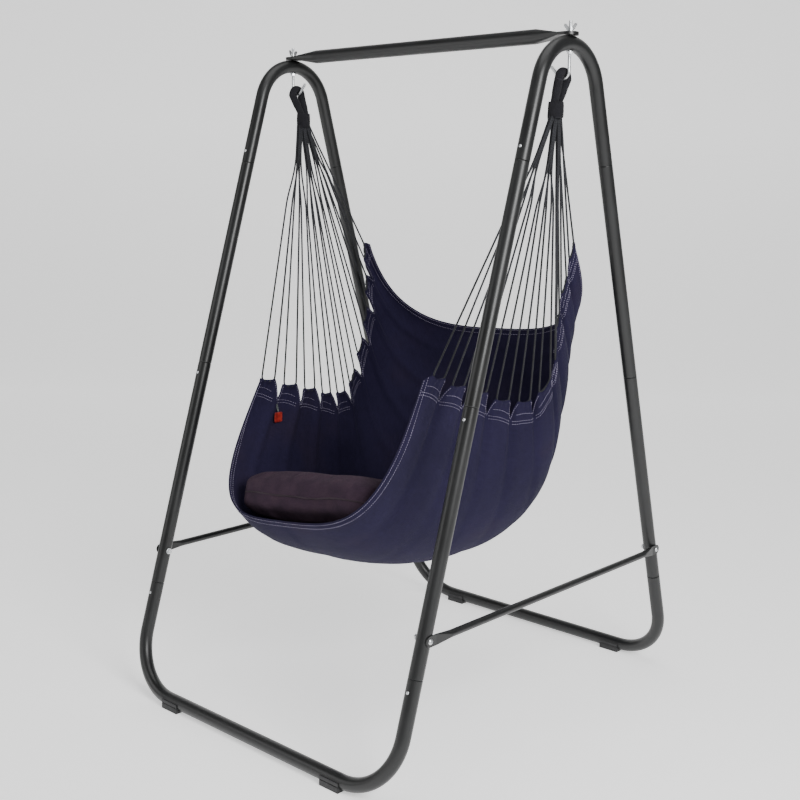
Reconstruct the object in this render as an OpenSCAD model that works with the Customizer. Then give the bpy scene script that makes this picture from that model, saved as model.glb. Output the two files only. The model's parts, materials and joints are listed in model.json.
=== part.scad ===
// Hanging fabric chair on a free-standing tubular stand.
// Millimetres, +Z up, +X towards the right side frame, -Y towards the sitter's feet.
// The origin is on the floor, midway between the four foot pads.

/* [Stand] */
// Distance between the planes of the two side frames
frame_spacing = 1020; // [980:10:1060]
// Distance between the front and back base tubes
base_depth = 1264; // [1240:4:1290]
// Lean of every leg from upright, in degrees
leg_lean = 16.5; // [16.3:0.1:16.7]
// Radius of the bend at the top of each side frame
arch_radius = 130; // [126:1:134]
// Radius of the corner bends of the base tubes
corner_radius = 160; // [120:5:180]
// Outside diameter of the frame tube
tube_d = 38; // [36:0.5:40]
// Wall thickness of the frame tube
tube_wall = 1.5; // [1.2:0.1:2]

/* [Joints] */
// Height of the joint between arch and upper leg
top_joint_height = 1535; // [1500:5:1560]
// Height of the joint between upper and lower leg
middle_joint_height = 947; // [900:5:1000]
// Height of the joint between lower leg and base
bottom_joint_height = 311; // [290:1:330]
// Length of each swaged tube end
socket_length = 60; // [50:5:70]
// Radial gap between a swaged end and the tube around it
socket_gap = 0.2; // [0.1:0.1:0.5]
// Diameter of the snap buttons
button_d = 8; // [7:0.5:10]
// How far a snap button can be pressed in
button_travel = 4; // [3:0.5:5]

/* [Braces and top bar] */
// Height of the two side braces
brace_height = 404; // [370:2:440]
// Outside diameter of the brace tube
brace_d = 19; // [16:1:22]
// Thickness of a flattened brace end
brace_flat = 3.2; // [2.6:0.2:4]
// Thickness of the flattened ends of the top bar
bar_flat = 8; // [6:0.5:10]
// How far the top bar reaches past each hook bolt
bar_overhang = 21; // [18:1:26]

/* [Hooks] */
// Diameter of the hook rod
rod_d = 8; // [8:0.5:9]
// Radius of the hook's bend
hook_radius = 17; // [17:0.5:20]
// Length of the flared hook tip
hook_tip = 34; // [25:1:40]
// Height of the centre of the hook's bend
hook_height = 1761; // [1756:1:1766]

/* [Chair] */
// Diameter of the served cord that forms each eye
eye_cord_d = 24; // [22:1:24]
// Diameter of a suspension cord
cord_d = 4; // [3:0.5:4]
// Number of fabric fingers at each end, with two cords each
finger_count = 10; // [6:1:10]
// Thickness of the sling's cloth and hems
cloth = 4; // [3:0.5:5]
// Width of the seat cushion
cushion_w = 530; // [440:10:540]
// Depth of the seat cushion, front to back
cushion_l = 430; // [380:10:450]
// Thickness of the seat cushion
cushion_h = 126; // [90:2:130]
// Angle of the cushion, front edge up
cushion_pitch = 19; // [17:1:21]

/* [Hidden] */
$fn = 48;

half_x = frame_spacing / 2;
half_y = base_depth / 2;
tube_r = tube_d / 2;
bore_r = tube_r - tube_wall;
swage_r = bore_r - socket_gap;
swage_bore_r = swage_r - tube_wall;
shoulder = 3;
pad_thickness = 4;
base_height = pad_thickness + tube_r;

// A leg's distance from the middle at a given height
function leg_y(height) = half_y - (height - base_height) * tan(leg_lean);
// A leg's length between two heights
function leg_length(low, high) = (high - low) / cos(leg_lean);

// Height of the centre of the arch's bend, where the bend meets both legs smoothly
arch_centre = base_height + half_y / tan(leg_lean) - arch_radius / sin(leg_lean);
arch_top = arch_centre + arch_radius + tube_r;
bar_height = arch_top + bar_flat / 2;
button_offset = 32;
button_hole_r = button_d / 2 + 0.1;
rod_hole_r = rod_d / 2 + 0.2;
washer_h = 1.6;
nut_h = 6.5;
nut_top = arch_top - tube_d - 0.5;
wing_base = arch_top + bar_flat + washer_h;
hook_x = half_x - hook_radius;
bight_height = hook_height - hook_radius;
eye_r = 18;
eye_gap = 0.4;
eye_centre = bight_height + rod_d / 2 + eye_gap + eye_cord_d / 2 - eye_r;
neck = [470, 6, 1668];
neck_r = 21;
neck_h = 40;
brace_bolt_r = 4;
brace_x = half_x + tube_r + 0.2 + brace_flat / 2;

frame_colour = "#1b1c1e";
zinc = "#b4b9bd";
plastic_colour = "#141415";
cloth_colour = "#2b2740";
cord_colour = "#232228";
cushion_colour = "#4b3440";

// ---------- shared shapes ----------

module ring(outer, inner) {
    difference() {
        circle(r = outer);
        circle(r = inner);
    }
}

// Straight hollow tube along +Z
module tube(length, outer = tube_r, inner = bore_r) {
    linear_extrude(length) ring(outer, inner);
}

// Hollow bend in the local XY plane about the origin, from the +X axis on
module bend(radius, angle) {
    rotate_extrude(angle = angle) translate([radius, 0]) rotate(90) ring(tube_r, bore_r);
}

// Places children on a leg's axis at a height: +Z up the leg, +Y outwards from the stand
module on_leg(side_x, side_y, height) {
    translate([side_x * half_x, side_y * leg_y(height), height])
        rotate([side_y * leg_lean, 0, 0])
            rotate([0, 0, side_y < 0 ? 180 : 0]) children();
}

// Cylinder between two points
module rod(from, to, d, sides = 24) {
    along = to - from;
    length = norm(along);
    translate(from)
        rotate([0, acos(along[2] / length), atan2(along[1], along[0])])
            cylinder(d = d, h = length, $fn = sides);
}

module button_hole(z) {
    translate([0, 0, z]) rotate([-90, 0, 0]) cylinder(r = button_hole_r, h = tube_d);
}

// ---------- stand tubes ----------

module arch(side) {
    bend_start = arch_centre + arch_radius * sin(leg_lean);
    leg = leg_length(top_joint_height, bend_start);
    color(frame_colour) translate([side * half_x, 0, arch_centre]) {
        difference() {
            rotate([90, 0, 90]) rotate([0, 0, leg_lean]) bend(arch_radius, 180 - 2 * leg_lean);
            cylinder(r = rod_hole_r, h = 2 * arch_radius);
        }
        for (turn = [0, 180])
            rotate([0, 0, turn]) rotate([90, 0, 90]) rotate([0, 0, leg_lean])
                translate([arch_radius, 0, 0]) rotate([90, 0, 0]) difference() {
                    tube(leg);
                    rotate([0, 0, -90]) button_hole(leg - button_offset);
                }
    }
}

// Upper leg: a swaged end at the top goes into the arch, one at the bottom into the lower leg
module upper_leg(side_x, side_y) {
    length = leg_length(middle_joint_height, top_joint_height);
    color(frame_colour) on_leg(side_x, side_y, middle_joint_height) difference() {
        rotate_extrude() polygon([
            [swage_bore_r, -socket_length], [swage_r, -socket_length], [swage_r, 0],
            [tube_r, shoulder], [tube_r, length - shoulder], [swage_r, length],
            [swage_r, length + socket_length], [swage_bore_r, length + socket_length],
            [swage_bore_r, length], [bore_r, length - shoulder], [bore_r, shoulder], [swage_bore_r, 0]
        ]);
        button_hole(-button_offset);
        button_hole(length + button_offset);
    }
}

// Lower leg: a plain socket at the top and a swaged end at the bottom
module lower_leg(side_x, side_y) {
    length = leg_length(bottom_joint_height, middle_joint_height);
    color(frame_colour) difference() {
        on_leg(side_x, side_y, bottom_joint_height) difference() {
            rotate_extrude() polygon([
                [swage_bore_r, -socket_length], [swage_r, -socket_length], [swage_r, 0],
                [tube_r, shoulder], [tube_r, length], [bore_r, length],
                [bore_r, shoulder], [swage_bore_r, 0]
            ]);
            button_hole(-button_offset);
            button_hole(length - button_offset);
        }
        brace_bore(side_x, side_y, brace_bolt_r + 0.2);
    }
}

// The cross hole for one brace bolt
module brace_bore(side_x, side_y, r) {
    translate([side_x * half_x, side_y * leg_y(brace_height), brace_height])
        rotate([0, 90, 0]) cylinder(r = r, h = 3 * tube_d, center = true);
}

// Base: a straight tube with a corner bend and a short upright at each end
module base(side_y) {
    straight = half_x - corner_radius;
    upright = leg_length(base_height, bottom_joint_height) - corner_radius;
    color(frame_colour) difference() {
        translate([0, side_y * half_y, base_height]) rotate([side_y * leg_lean, 0, 0]) {
            translate([-straight, 0, 0]) rotate([0, 90, 0]) tube(2 * straight);
            for (side_x = [-1, 1]) {
                translate([side_x * half_x, 0, corner_radius]) tube(upright);
                translate([side_x * straight, 0, corner_radius])
                    rotate([90, 0, 0]) rotate([0, 0, side_x > 0 ? -90 : 180]) bend(corner_radius, 90);
            }
        }
        for (side_x = [-1, 1])
            on_leg(side_x, side_y, bottom_joint_height) button_hole(-button_offset);
    }
}

// Clip-on pad under a base tube, just inboard of the corner bend
module foot_pad(side_x, side_y) {
    pad_length = 66;
    pad_half_w = tube_r + 3;
    inner_end = half_x - corner_radius - pad_length + 6;
    color(plastic_colour)
        translate([side_x * (inner_end + pad_length / 2), side_y * half_y, base_height])
            rotate([90, 0, 90]) linear_extrude(pad_length, center = true) difference() {
                union() {
                    translate([-pad_half_w, -base_height]) square([2 * pad_half_w, base_height - 8]);
                    intersection() {
                        circle(r = pad_half_w);
                        translate([-pad_half_w, -10]) square([2 * pad_half_w, 14]);
                    }
                }
                circle(r = tube_r + 0.1);
            }
}

// ---------- top bar and braces ----------

// Round tube that tapers to a flat tongue at each end
module top_bar() {
    round_end = 405;
    flat_start = 486;
    tongue_w = 50;
    round_centre = half_x + bar_overhang - tongue_w / 2;
    color(frame_colour) translate([0, 0, bar_height]) difference() {
        union() {
            rotate([0, 90, 0]) cylinder(r = tube_r, h = 2 * round_end, center = true);
            for (side = [-1, 1]) {
                hull() {
                    translate([side * round_end, 0, 0])
                        rotate([0, 90, 0]) cylinder(r = tube_r, h = 1, center = true, $fn = 32);
                    translate([side * flat_start, 0, 0])
                        cube([1, tongue_w, bar_flat], center = true);
                }
                translate([side * (flat_start + round_centre) / 2, 0, 0])
                    cube([round_centre - flat_start, tongue_w, bar_flat], center = true);
                translate([side * round_centre, 0, 0])
                    cylinder(r = tongue_w / 2, h = bar_flat, center = true);
            }
        }
        rotate([0, 90, 0]) cylinder(r = bore_r, h = 2 * round_end - 2, center = true);
        for (side = [-1, 1])
            translate([side * half_x, 0, 0]) cylinder(r = rod_hole_r, h = tube_d, center = true);
    }
}

// Side brace: a tube along Y with both ends flattened against the legs
module brace(side) {
    bolt_y = leg_y(brace_height);
    round_end = bolt_y - 75;
    flat_start = bolt_y - 22;
    flat_w = 28;
    color(frame_colour) translate([side * brace_x, 0, brace_height]) difference() {
        union() {
            rotate([90, 0, 0]) cylinder(d = brace_d, h = 2 * round_end, center = true);
            for (end = [-1, 1]) {
                hull() {
                    translate([0, end * round_end, 0])
                        rotate([90, 0, 0]) cylinder(d = brace_d, h = 1, center = true, $fn = 32);
                    translate([0, end * flat_start, 0]) cube([brace_flat, 1, flat_w], center = true);
                }
                translate([0, end * (flat_start + bolt_y) / 2, 0])
                    cube([brace_flat, bolt_y - flat_start, flat_w], center = true);
                translate([0, end * bolt_y, 0])
                    rotate([0, 90, 0]) cylinder(d = flat_w, h = brace_flat, center = true);
            }
        }
        rotate([90, 0, 0]) cylinder(d = brace_d - 2.4, h = 2 * round_end - 2, center = true);
        for (end = [-1, 1])
            translate([0, end * bolt_y, 0])
                rotate([0, 90, 0]) cylinder(r = brace_bolt_r + 0.2, h = tube_d, center = true);
    }
}

// Places children at each brace bolt, +Z pointing outwards
module at_brace_bolts() {
    for (side_x = [-1, 1], side_y = [-1, 1])
        translate([side_x * half_x, side_y * leg_y(brace_height), brace_height])
            rotate([0, side_x * 90, 0]) children();
}

// Dome-head bolts with a cross recess
module brace_bolts() {
    head_base = tube_r + 0.3 + brace_flat + 0.1;
    head_r = 7.5;
    head_h = 4.5;
    dome_r = (head_r * head_r + head_h * head_h) / (2 * head_h);
    color(zinc) at_brace_bolts() difference() {
        union() {
            translate([0, 0, -tube_r - 9]) cylinder(r = brace_bolt_r, h = tube_r + 9 + head_base);
            intersection() {
                translate([0, 0, head_base]) cylinder(r = head_r, h = head_h + 1);
                translate([0, 0, head_base + head_h - dome_r]) sphere(r = dome_r);
            }
        }
        for (turn = [0, 90])
            rotate([0, 0, turn]) translate([0, 0, head_base + head_h]) cube([7, 1.4, 3.6], center = true);
    }
}

module hex_nut(flange_d, across, height, bore) {
    difference() {
        union() {
            cylinder(d = flange_d, h = 1.5);
            cylinder(d = across / cos(30), h = height, $fn = 6);
        }
        translate([0, 0, -1]) cylinder(r = bore, h = height + 2);
    }
}

module brace_nuts() {
    color(zinc) at_brace_bolts()
        translate([0, 0, -tube_r - 0.3]) mirror([0, 0, 1])
            hex_nut(17, 13, nut_h, brace_bolt_r + 0.1);
}

// ---------- hooks ----------

// J-hook bolt: threaded shank, half-open bend and flared tip pointing inwards
module hook(side) {
    tip_angle = 135;
    shank_top = wing_base + 26;
    color(zinc) mirror([side < 0 ? 1 : 0, 0, 0]) translate([hook_x, 0, hook_height]) {
        translate([hook_radius, 0, 0]) cylinder(d = rod_d, h = shank_top - hook_height);
        rotate([90, 0, 0]) rotate([0, 0, -tip_angle])
            rotate_extrude(angle = tip_angle) translate([hook_radius, 0]) circle(d = rod_d);
        rotate([0, tip_angle, 0]) translate([hook_radius, 0, -hook_tip]) {
            cylinder(d = rod_d, h = hook_tip);
            sphere(d = rod_d);
        }
    }
}

// Flanged nuts under the arches and washers on top of the bar
module hook_nuts() {
    color(zinc) for (side = [-1, 1]) translate([side * half_x, 0, 0]) {
        translate([0, 0, nut_top]) mirror([0, 0, 1]) hex_nut(18, 13, nut_h, rod_d / 2 + 0.1);
        translate([0, 0, arch_top + bar_flat + 0.05]) difference() {
            cylinder(r = 9, h = washer_h - 0.2);
            translate([0, 0, -1]) cylinder(r = rod_d / 2 + 0.3, h = 4);
        }
    }
}

// Wing nut: round hub and two raised wings, turned by hand about the bolt
module wing_nut(side) {
    hub_h = 11;
    wing_turn = side > 0 ? 8 : 96;
    color(zinc) translate([side * half_x, 0, wing_base + 0.1]) rotate([0, 0, wing_turn])
        difference() {
            union() {
                cylinder(r1 = 7.5, r2 = 6, h = hub_h);
                for (wing = [0, 180])
                    rotate([0, 0, wing]) rotate([90, 0, 0]) linear_extrude(2.6, center = true)
                        hull() {
                            translate([6, 5]) circle(r = 4);
                            translate([14, 15]) circle(r = 4);
                        }
            }
            translate([0, 0, -1]) cylinder(r = rod_d / 2 + 0.08, h = 30);
        }
}

// ---------- snap buttons ----------

// Height of each button along its leg: [joint height, offset from the joint line]
function button_place(level) =
    level == "top" ? [top_joint_height, button_offset]
    : level == "middle" ? [middle_joint_height, -button_offset]
    : [bottom_joint_height, -button_offset];

module on_button(level, side_x, side_y) {
    place = button_place(level);
    on_leg(side_x, side_y, place[0]) translate([0, 0, place[1]]) rotate([-90, 0, 0]) children();
}

// Flange inside the tube, stem through both walls and a domed tip
module button(level, side_x, side_y) {
    stem_r = button_d / 2;
    tip = tube_r + 3.2;
    color(zinc) on_button(level, side_x, side_y) {
        translate([0, 0, 12.4]) cylinder(r = 5.4, h = 1.8);
        translate([0, 0, 14.2]) cylinder(r = stem_r, h = tip - 14.2 - stem_r * 0.6);
        intersection() {
            translate([0, 0, tip - stem_r * 0.6]) cylinder(r = stem_r, h = stem_r);
            translate([0, 0, tip - stem_r * 1.1333]) sphere(r = stem_r * 1.1333);
        }
    }
}

// Bent leaf springs inside the tubes that push the buttons out
module button_springs() {
    color(zinc) for (level = ["top", "middle", "bottom"], side_x = [-1, 1], side_y = [-1, 1])
        on_button(level, side_x, side_y)
            rotate([90, 0, 90]) linear_extrude(7, center = true) leaf_profile();
}

// Two arms joined by a round bend
module leaf_profile() {
    arm = 34;
    bend_r = 8;
    strip = 0.9;
    translate([arm, -3]) difference() {
        intersection() {
            ring(bend_r + strip / 2, bend_r - strip / 2);
            translate([0, -20]) square([20, 40]);
        }
    }
    translate([-6, bend_r - 3 - strip / 2]) square([arm + 6, strip]);
    translate([-6, -bend_r - 3 - strip / 2]) square([arm + 6, strip]);
}

// ---------- chair suspension ----------

// Served cord bent into an eye over the hook, both legs running down to the whipping
module eye(side) {
    top = [side * hook_x, 0, eye_centre];
    foot = [side * neck[0], neck[1], neck[2] + neck_h / 2];
    color(cord_colour) {
        translate(top) rotate([90, 0, 90]) rotate_extrude(angle = 180)
            translate([eye_r, 0]) circle(d = eye_cord_d);
        for (leg = [-1, 1]) {
            rod(top + [0, leg * eye_r, 0], foot + [0, leg * 8, 1], eye_cord_d - 2, 48);
            translate(top + [0, leg * eye_r, 0]) sphere(d = eye_cord_d - 1);
        }
    }
}

// Tight turns of thin cord that bind the cords together below the eye
module whipping(side) {
    low = [side * neck[0], neck[1], neck[2] - neck_h / 2];
    high = [side * neck[0], neck[1], neck[2] + neck_h / 2 - 0.2];
    color(cord_colour) rod(low, high, 2 * neck_r, 48);
}

// ---------- fabric sling ----------

// The sling is a cloth hung from two ends. Position u runs from the left end (-1) to the
// right end (1), and t runs from the front edge (0) to the top of the back (1).

// Side view of the middle of the cloth: [y, z], front lip first
middle_profile = [
    [-505, 590], [-430, 510], [-300, 445], [-130, 400], [20, 390],
    [170, 420], [280, 520], [335, 660], [360, 820], [370, 950], [370, 1040]
];
// Right end of the cloth: [x, y, z], front finger first
end_profile = [
    [325, -300, 970], [320, -225, 940], [320, -140, 915], [330, -55, 890], [345, 25, 865],
    [360, 100, 870], [380, 155, 950], [370, 175, 1045], [370, 190, 1140], [385, 200, 1240], [400, 205, 1330]
];
// How much higher the right end hangs than the left, per millimetre of width, front and back
side_slope = [0.13, 0.04];
// Fullness of the cross-section at the front and back: 2 is an ellipse, higher is squarer
fullness = [3.8, 3];
function fullness_at(t) = fullness[1] + (fullness[0] - fullness[1]) * max(0, 1 - 2.5 * t);

function smooth(a, b, c, d, s) =
    0.5 * (2 * b + (c - a) * s + (2 * a - 5 * b + 4 * c - d) * s * s
    + (3 * b - a - 3 * c + d) * s * s * s);
function pick(list, i) = list[max(0, min(len(list) - 1, i))];
// Smooth curve through a list of points, t from 0 to 1
function along(list, t) =
    let (x = t * (len(list) - 1), i = min(floor(x), len(list) - 2), s = x - i)
    smooth(pick(list, i - 1), pick(list, i), pick(list, i + 1), pick(list, i + 2), s);
function slope_at(t) = side_slope[0] + (side_slope[1] - side_slope[0]) * t;

// A point of the cloth's middle surface
function sling_point(u, t) =
    let (
        middle = along(middle_profile, t),
        end = along(end_profile, t),
        side = u < 0 ? -1 : 1,
        power = 2 / fullness_at(t),
        out = pow(sin(abs(u) * 90), power),
        rise = 1 - pow(cos(abs(u) * 90), power),
        x = side * end[0] * out
    )
    [x, middle[0] + (end[1] - middle[0]) * rise,
     middle[1] + (end[2] - middle[1]) * rise + slope_at(t) * x];

// Unit normal of the cloth, pointing into the seat
function sling_normal(u, t) =
    let (
        e = 0.01,
        du = sling_point(min(1, u + e), t) - sling_point(max(-1, u - e), t),
        dt = sling_point(u, min(1, t + e)) - sling_point(u, max(0, t - e)),
        n = cross(du, dt)
    )
    n / norm(n);

// Grid of the cloth: positions across it and along it
across = 28;
down = 22;
row = across + 1;
grid_size = row * (down + 1);

// Cloth surface moved along its normal, row by row
function cloth_grid(offset) =
    [for (j = [0:down], i = [0:across])
        let (u = 2 * i / across - 1, t = j / down)
        sling_point(u, t) + sling_normal(u, t) * offset];
// Triangles of a grid whose first point has the index first; turned faces look into the seat
function grid_faces(first, turned) =
    [for (j = [0:down - 1], i = [0:across - 1], k = [0, 1])
        let (
            a = first + j * row + i,
            face = k == 0 ? [a, a + 1, a + row + 1] : [a, a + row + 1, a + row]
        )
        turned ? [face[0], face[2], face[1]] : face];
// The grid's border, once round: front, right end, back and left end
border = concat(
    [for (i = [0:across - 1]) i],
    [for (j = [0:down - 1]) j * row + across],
    [for (i = [across:-1:1]) down * row + i],
    [for (j = [down:-1:1]) j * row]
);
// Pairs of neighbours along the border
border_steps = [for (k = [0:len(border) - 1]) [border[k], border[(k + 1) % len(border)]]];

module sling() {
    hems = [for (s = border_steps, k = [0, 1])
        k == 0 ? [s[1], s[0], grid_size + s[0]] : [s[1], grid_size + s[0], grid_size + s[1]]];
    color(cloth_colour) polyhedron(
        points = concat(cloth_grid(-cloth / 2), cloth_grid(cloth / 2)),
        faces = concat(grid_faces(0, false), grid_faces(grid_size, true), hems),
        convexity = 6
    );
}

// The space inside the seat, up to a point above the sitter's knees
module seat_space(clearance) {
    above = [0, -900, 1100];
    polyhedron(
        points = concat(cloth_grid(cloth / 2 + clearance), [above]),
        faces = concat(grid_faces(0, false), [for (s = border_steps) [s[1], s[0], grid_size]]),
        convexity = 6
    );
}

// Two cords from each finger up to the whipping, in two rows side by side at the top
module cords(side) {
    spread = 0.27;
    pitch = 2 * neck_r / (2 * finger_count - 1);
    color(cord_colour) for (k = [0:finger_count - 1], twin = [0, 1]) {
        t = (k + 0.5 + (twin - 0.5) * 2 * spread) / finger_count;
        edge = sling_point(side, t);
        index = 2 * k + twin;
        top = [
            side * (neck[0] + (twin == 0 ? 1 : -1) * cord_d),
            neck[1] + (index - finger_count + 0.5) * pitch,
            neck[2] - neck_h / 2 - 0.5
        ];
        reach = edge - top;
        rod(top, top + reach * (1 - (cloth / 2 + 1) / norm(reach)), cord_d);
    }
}

// ---------- cushion and tag ----------

cushion_centre = [0, -264, 588];
cushion_corner = 42;
cushion_cover = 6;

module on_cushion() {
    translate(cushion_centre) rotate([-cushion_pitch, 0, 0]) rotate([0, -7, 0]) children();
}

// Rounded slab whose underside is pressed to the shape of the seat
module cushion_body(shrink) {
    r = cushion_corner - shrink;
    place = [cushion_w / 2, cushion_l / 2, cushion_h / 2] - cushion_corner * [1, 1, 1];
    intersection() {
        on_cushion() hull()
            for (x = [-1, 1], y = [-1, 1], z = [-1, 1])
                translate([x * place[0], y * place[1], z * place[2]]) sphere(r = r, $fn = 32);
        seat_space(3 + shrink);
    }
}

// Padded cover, open along the zip at the back
module cushion() {
    color(cushion_colour) difference() {
        cushion_body(0);
        cushion_body(cushion_cover);
        on_cushion() translate([0, cushion_l / 2, 8]) cube([cushion_w - 140, 60, 1.5], center = true);
    }
}

tag_size = 30;
tag_root = sling_point(-0.98, 0.11) + sling_normal(-0.98, 0.11) * (cloth / 2 + 1.3);
tag_top = tag_root + [6, 0, -26];

// Small plain square tag that hangs inside the front left finger
module tag() {
    color("#a3302c") translate(tag_top - [0, 0, tag_size / 2]) cube([2, tag_size, tag_size], center = true);
}

module tag_cord() {
    color("#7f8a80") rod(tag_root, tag_top + [0, 0, 0.3], 2);
}

arch(-1);  // left_arch
arch(1);  // right_arch
upper_leg(-1, -1);  // upper_leg_front_left
upper_leg(1, -1);  // upper_leg_front_right
upper_leg(-1, 1);  // upper_leg_back_left
upper_leg(1, 1);  // upper_leg_back_right
lower_leg(-1, -1);  // lower_leg_front_left
lower_leg(1, -1);  // lower_leg_front_right
lower_leg(-1, 1);  // lower_leg_back_left
lower_leg(1, 1);  // lower_leg_back_right
base(-1);  // front_base
base(1);  // back_base
top_bar();
brace(-1);  // left_brace
brace(1);  // right_brace
brace_bolts();
brace_nuts();
foot_pad(-1, -1);  // foot_pad_front_left
foot_pad(1, -1);  // foot_pad_front_right
foot_pad(-1, 1);  // foot_pad_back_left
foot_pad(1, 1);  // foot_pad_back_right
hook(-1);  // left_hook
hook(1);  // right_hook
hook_nuts();
wing_nut(-1);  // left_wing_nut
wing_nut(1);  // right_wing_nut
button("top", -1, -1);  // button_top_front_left
button("top", 1, -1);  // button_top_front_right
button("top", -1, 1);  // button_top_back_left
button("top", 1, 1);  // button_top_back_right
button("middle", -1, -1);  // button_middle_front_left
button("middle", 1, -1);  // button_middle_front_right
button("middle", -1, 1);  // button_middle_back_left
button("middle", 1, 1);  // button_middle_back_right
button("bottom", -1, -1);  // button_bottom_front_left
button("bottom", 1, -1);  // button_bottom_front_right
button("bottom", -1, 1);  // button_bottom_back_left
button("bottom", 1, 1);  // button_bottom_back_right
button_springs();
eye(-1);  // left_eye
eye(1);  // right_eye
whipping(-1);  // left_whipping
whipping(1);  // right_whipping
cords(-1);  // left_cords
cords(1);  // right_cords
sling();
cushion();
tag();
tag_cord();
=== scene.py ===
"""The looks of a hanging fabric chair on its tubular stand. Metres, +Z up, in the CAD model's frame."""

import json
import math

import bpy
import bmesh
import numpy as np
from mathutils import Matrix, Vector, noise
from mathutils.bvhtree import BVHTree


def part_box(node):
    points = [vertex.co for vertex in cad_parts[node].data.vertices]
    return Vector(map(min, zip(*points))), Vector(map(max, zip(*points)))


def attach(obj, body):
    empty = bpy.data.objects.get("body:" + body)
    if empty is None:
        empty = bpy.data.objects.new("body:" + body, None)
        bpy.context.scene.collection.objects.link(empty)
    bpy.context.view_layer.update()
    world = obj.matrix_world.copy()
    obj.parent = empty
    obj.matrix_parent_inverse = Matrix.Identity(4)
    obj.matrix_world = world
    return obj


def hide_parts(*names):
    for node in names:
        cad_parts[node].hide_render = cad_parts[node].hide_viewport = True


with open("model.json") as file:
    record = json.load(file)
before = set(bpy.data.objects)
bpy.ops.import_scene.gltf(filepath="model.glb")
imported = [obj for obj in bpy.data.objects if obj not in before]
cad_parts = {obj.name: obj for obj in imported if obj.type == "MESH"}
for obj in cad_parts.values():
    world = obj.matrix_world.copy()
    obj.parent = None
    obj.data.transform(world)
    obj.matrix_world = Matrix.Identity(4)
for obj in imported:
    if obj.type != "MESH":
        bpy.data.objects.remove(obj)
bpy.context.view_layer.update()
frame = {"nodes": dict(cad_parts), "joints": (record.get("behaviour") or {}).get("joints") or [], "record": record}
nodes = frame["nodes"]

# ---------- sizes ----------

FINGERS = 10            # fingers of cloth at each end of the sling
CORD_SPREAD = 0.27      # how far a finger's two cords stand from its middle, as a share of the pitch
CORD_D = 0.0052
CORD_STRANDS = 3.0
CORD_ROW = 0.004        # how far a cord stands from the neck's middle plane
CLOTH = 0.0026          # thickness of the single cloth
HEM_WIDTH = 0.022
FINGER_DEPTH = 0.046    # from a finger's top down to the bottom of the notch beside it
LEVEL_SHARE = 0.7       # how much of a finger's tilt is trimmed off its higher corner
LEVEL_LIMIT = 0.014
CORD_GROUP = 3          # fingers whose cords leave the neck together
GATHERED_UNTIL = 0.10   # shares of a cord's length where its group starts to open, and takes to open
OPENING = 0.22
NECK = Vector((0.470, 0.006, 1.668))
NECK_R = 0.021
NECK_H = 0.040
EYE_R = 0.018
EYE_CORD_D = 0.024
HOOK_X = 0.493
HOOK_TO_SHANK = 0.017    # from the eye's place on the hook out to the upright shank
ROD_R = 0.004
EYE_GAP = 0.0004
THREAD_PITCH = 0.00125
CUSHION = Vector((0.530, 0.430, 0.126))
CUSHION_PITCH = math.radians(-19)
CUSHION_ROLL = math.radians(-7)
CUSHION_CENTRE = Vector((0.000, -0.264, 0.588))

# Side view of the middle of the cloth: y, z, front lip first
MIDDLE_PROFILE = [
    (-0.505, 0.590), (-0.430, 0.510), (-0.300, 0.445), (-0.130, 0.400), (0.020, 0.390),
    (0.170, 0.420), (0.280, 0.520), (0.335, 0.660), (0.360, 0.820), (0.370, 0.950), (0.370, 1.040),
]
# Right end of the cloth: x, y, z, front finger first
END_PROFILE = [
    (0.325, -0.300, 0.970), (0.320, -0.225, 0.940), (0.320, -0.140, 0.915), (0.330, -0.055, 0.890),
    (0.345, 0.025, 0.865), (0.360, 0.100, 0.870), (0.380, 0.155, 0.950), (0.370, 0.175, 1.045),
    (0.370, 0.190, 1.140), (0.385, 0.200, 1.240), (0.400, 0.205, 1.330),
]
SIDE_SLOPE = (0.13, 0.04)
FULLNESS = (3.8, 3.0)   # of the cross-section, front and back: 2 is an ellipse, higher is squarer

chair_swing = next(j for j in frame["joints"] if j["name"] == "chair_swing")
PIVOT_Z = chair_swing["pos_m"][2]


# ---------- camera, light and floor ----------

def make_camera():
    """Stands in front and to the right of the stand, about eye height, looking slightly down."""
    yaw, pitch, roll = math.radians(132.29), math.radians(10.09), math.radians(0.74)
    ahead = Vector((math.cos(yaw) * math.cos(pitch), math.sin(yaw) * math.cos(pitch), -math.sin(pitch)))
    right = Vector((math.sin(yaw), -math.cos(yaw), 0))
    up = right.cross(ahead)
    turned_right = math.cos(roll) * right + math.sin(roll) * up
    turned_up = -math.sin(roll) * right + math.cos(roll) * up
    data = bpy.data.cameras.new("camera")
    data.lens = 53.52
    data.sensor_width = 36
    camera = bpy.data.objects.new("camera", data)
    bpy.context.scene.collection.objects.link(camera)
    rotation = Matrix((turned_right, turned_up, -ahead)).transposed()
    camera.matrix_world = Matrix.Translation((2.280, -2.560, 1.466)) @ rotation.to_4x4()
    bpy.context.scene.camera = camera
    return yaw


def area_light(name, place, target, size, power):
    data = bpy.data.lights.new(name, "AREA")
    data.size = size
    data.energy = power
    light = bpy.data.objects.new(name, data)
    light.location = place
    light.rotation_euler = (Vector(target) - Vector(place)).to_track_quat("-Z", "Y").to_euler()
    bpy.context.scene.collection.objects.link(light)


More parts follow.
